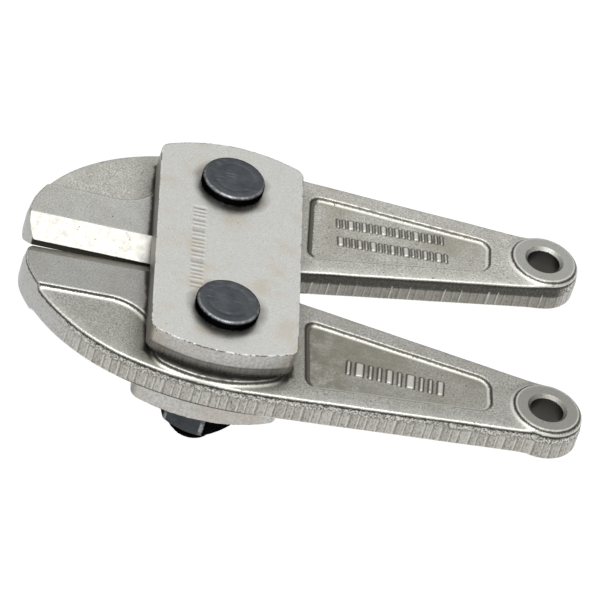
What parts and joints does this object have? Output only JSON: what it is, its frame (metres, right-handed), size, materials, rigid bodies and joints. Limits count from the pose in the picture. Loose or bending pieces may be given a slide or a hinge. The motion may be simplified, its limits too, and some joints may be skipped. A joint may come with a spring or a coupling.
{
  "type": "bolt cutter head",
  "caption": "Forged cutter head of a bolt cutter: two hinged jaws with ground blades and tail eyes, held between side plates by bolts and nuts.",
  "frame": {"origin": "under the middle of the bounding box, at the level of the bolt ends", "axes": "+X from the blades to the tails, +Y towards the jaw called upper, +Z along the pivot bolts towards their heads"},
  "size_m": [0.171, 0.103, 0.0506],
  "materials": {
    "plate_steel": "satin, faint stains and fine scratches",
    "jaw_steel": "grit-blasted forging, smoother on the raised faces, bright on the ground bevels",
    "black_oxide": "black oxide, satin, worn at the edges"
  },
  "bodies": {
    "side_plates": {"front_side_plate": "plate_steel", "rear_side_plate": "plate_steel", "upper_pivot_bolt": "black_oxide", "lower_pivot_bolt": "black_oxide", "upper_pivot_nut": "black_oxide", "lower_pivot_nut": "black_oxide"},
    "upper_jaw": {"upper_jaw": "jaw_steel"},
    "lower_jaw": {"lower_jaw": "jaw_steel"}
  },
  "joints": [
    {"name": "upper_jaw_pivot", "type": "hinge", "parent": "side_plates", "child": "upper_jaw", "pos_m": [-0.02588, 0.028, 0.0328], "axis": [0, 0, -1], "range_deg": [-1.3, 12]},
    {"name": "lower_jaw_pivot", "type": "hinge", "parent": "side_plates", "child": "lower_jaw", "pos_m": [-0.02588, -0.028, 0.0328], "axis": [0, 0, 1], "range_deg": [-1.3, 12]}
  ],
  "couplings": [
    {"joint": "lower_jaw_pivot", "follows": "upper_jaw_pivot", "ratio": 1}
  ]
}
